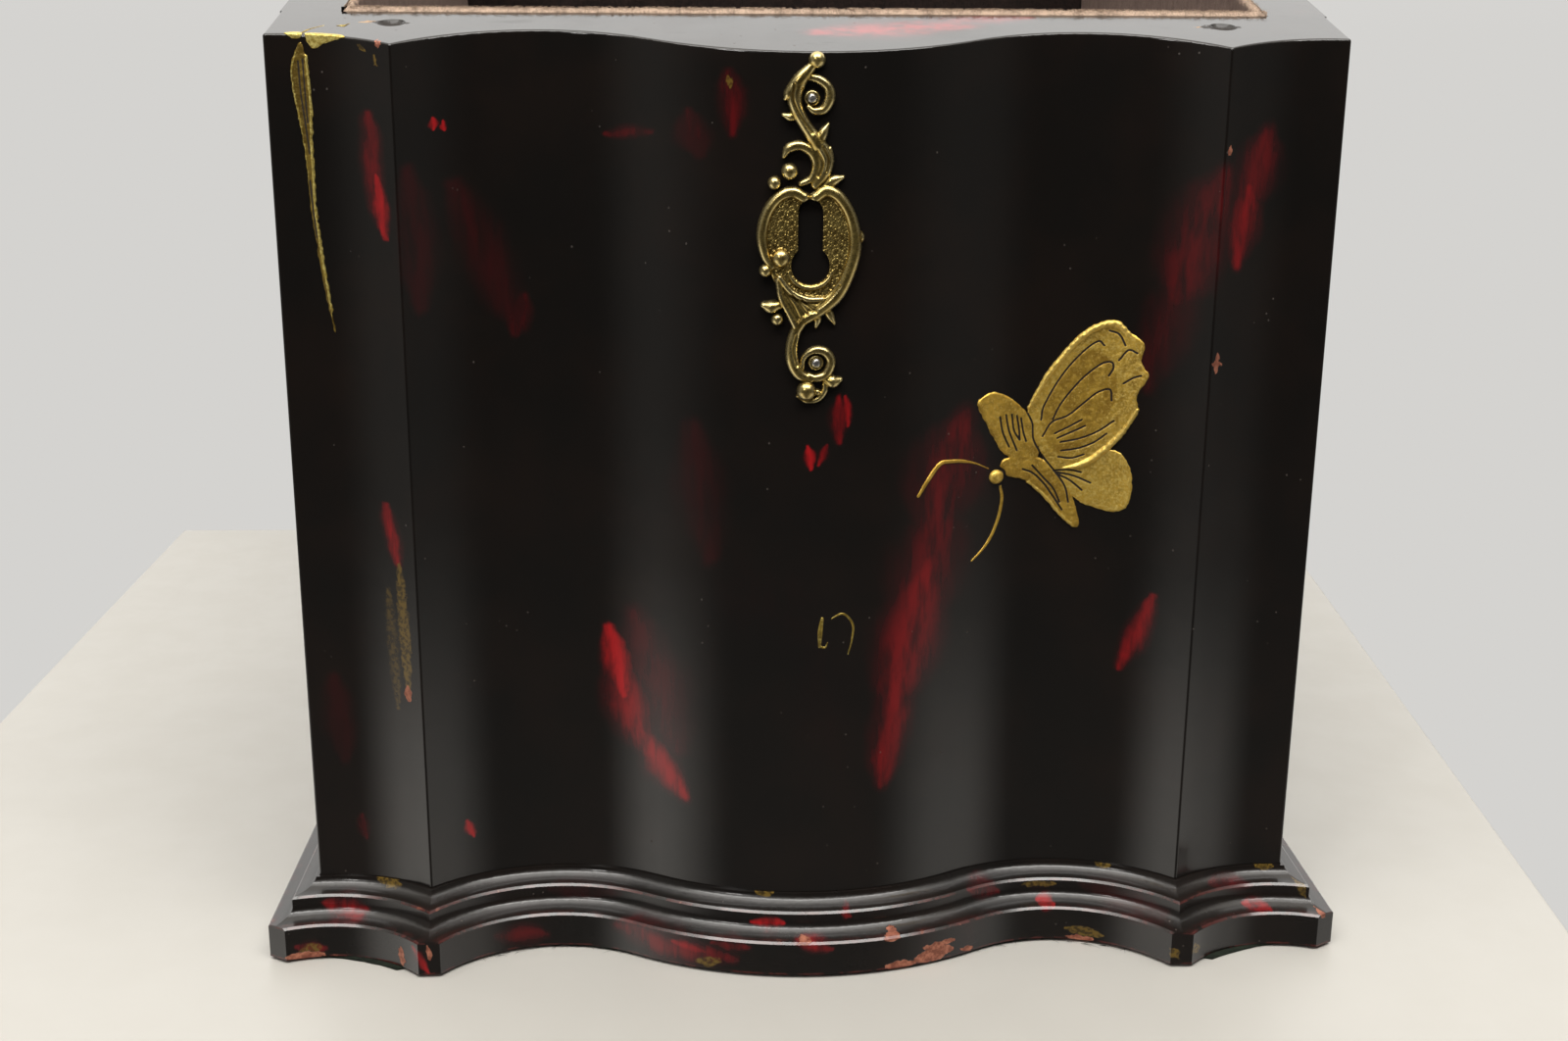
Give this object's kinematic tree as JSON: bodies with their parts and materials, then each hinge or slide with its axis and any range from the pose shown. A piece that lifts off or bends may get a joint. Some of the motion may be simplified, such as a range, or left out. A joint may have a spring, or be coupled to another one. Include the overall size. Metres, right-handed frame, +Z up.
{
  "type": "serpentine-front casket",
  "caption": "Lacquered box with a serpentine front and sloping rim, moulded plinth, felt-lined well, ornamental keyhole plate and a lid hinged at the back, thrown open.",
  "frame": {"origin": "middle of the carcass footprint on the underside of the base felt; the crown of the bowed front is at y = -0.127 and the carcass back at y = +0.127", "axes": "+Z up, -Y the front with the keyhole plate, +X the right-hand side seen from the front"},
  "size_m": [0.2492, 0.4946, 0.406],
  "materials": {
    "lacquered_wood": "black japanned lacquer with red mottling, high gloss, worn at the edges",
    "bare_wood": "unfinished softwood",
    "escutcheon_brass": "cast and chased, dulled",
    "stud_brass": "domed, rubbed",
    "hinge_brass": "drawn brass, dulled",
    "pin_steel": "domed, greyed",
    "screw_steel": "slotted, dulled",
    "lining_felt": "tan wool felt",
    "gilding": "raised gilt ornament, crinkled and rubbed",
    "base_felt": "dark green wool felt"
  },
  "bodies": {
    "box": {"back_panel": "lacquered_wood", "base_felt": "base_felt", "bottom_board": "bare_wood", "carcass_dowels": "bare_wood", "escutcheon": "escutcheon_brass", "escutcheon_pins": "pin_steel", "front_panel": "lacquered_wood", "hinge_left_body_leaf": "hinge_brass", "hinge_left_pin": "pin_steel", "hinge_right_body_leaf": "hinge_brass", "hinge_right_pin": "pin_steel", "hinge_screws_body": "screw_steel", "left_side_panel": "lacquered_wood", "lining_back": "lining_felt", "lining_floor": "lining_felt", "lining_front": "lining_felt", "lining_left": "lining_felt", "lining_right": "lining_felt", "plinth_back": "lacquered_wood", "plinth_front": "lacquered_wood", "plinth_left": "lacquered_wood", "plinth_right": "lacquered_wood", "right_side_panel": "lacquered_wood"},
    "lid": {"hinge_left_lid_leaf": "hinge_brass", "hinge_right_lid_leaf": "hinge_brass", "hinge_screws_lid": "screw_steel", "lid_back_rail": "lacquered_wood", "lid_buffer_studs": "stud_brass", "lid_dowels": "bare_wood", "lid_front_rail": "lacquered_wood", "lid_left_rail": "lacquered_wood", "lid_lining_back": "lining_felt", "lid_lining_front": "lining_felt", "lid_lining_left": "lining_felt", "lid_lining_panel": "lining_felt", "lid_lining_right": "lining_felt", "lid_right_rail": "lacquered_wood", "lid_top_board": "lacquered_wood"}
  },
  "joints": [
    {"name": "lid_hinge", "type": "hinge", "parent": "box", "child": "lid", "pos_m": [0, 0.127, 0.26414], "axis": [1, 0, 0], "range_deg": [0, 160]}
  ]
}
